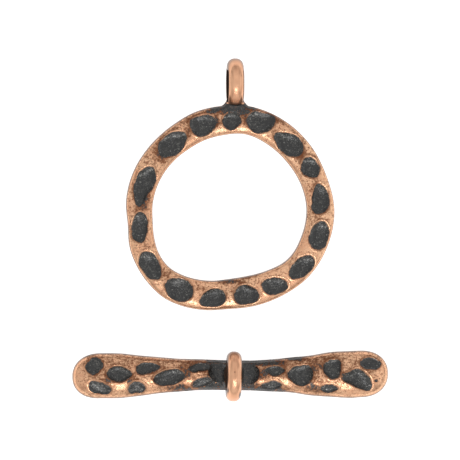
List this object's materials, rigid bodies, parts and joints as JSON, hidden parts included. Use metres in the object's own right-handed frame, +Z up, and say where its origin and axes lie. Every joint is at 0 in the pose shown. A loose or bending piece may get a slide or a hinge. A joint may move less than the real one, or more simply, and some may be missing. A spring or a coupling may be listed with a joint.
{
  "type": "toggle clasp",
  "caption": "Hammered toggle clasp in antiqued copper finish: an irregular ring and a waisted bar, each cast with an eye that stands across it, lying apart.",
  "frame": {"origin": "on the surface that the clasp lies on, under the middle of the box round both pieces", "axes": "+X along the bar to its broader end, +Y from the bar towards the ring's eye, +Z up from the surface"},
  "size_m": [0.0348, 0.0378, 0.0079],
  "materials": {
    "antique_copper": "antiqued copper plating, rubbed bright on the high places and charcoal dark in the hammer marks"
  },
  "bodies": {
    "root": {"toggle_ring": "antique_copper", "toggle_bar": "antique_copper"}
  },
  "joints": []
}
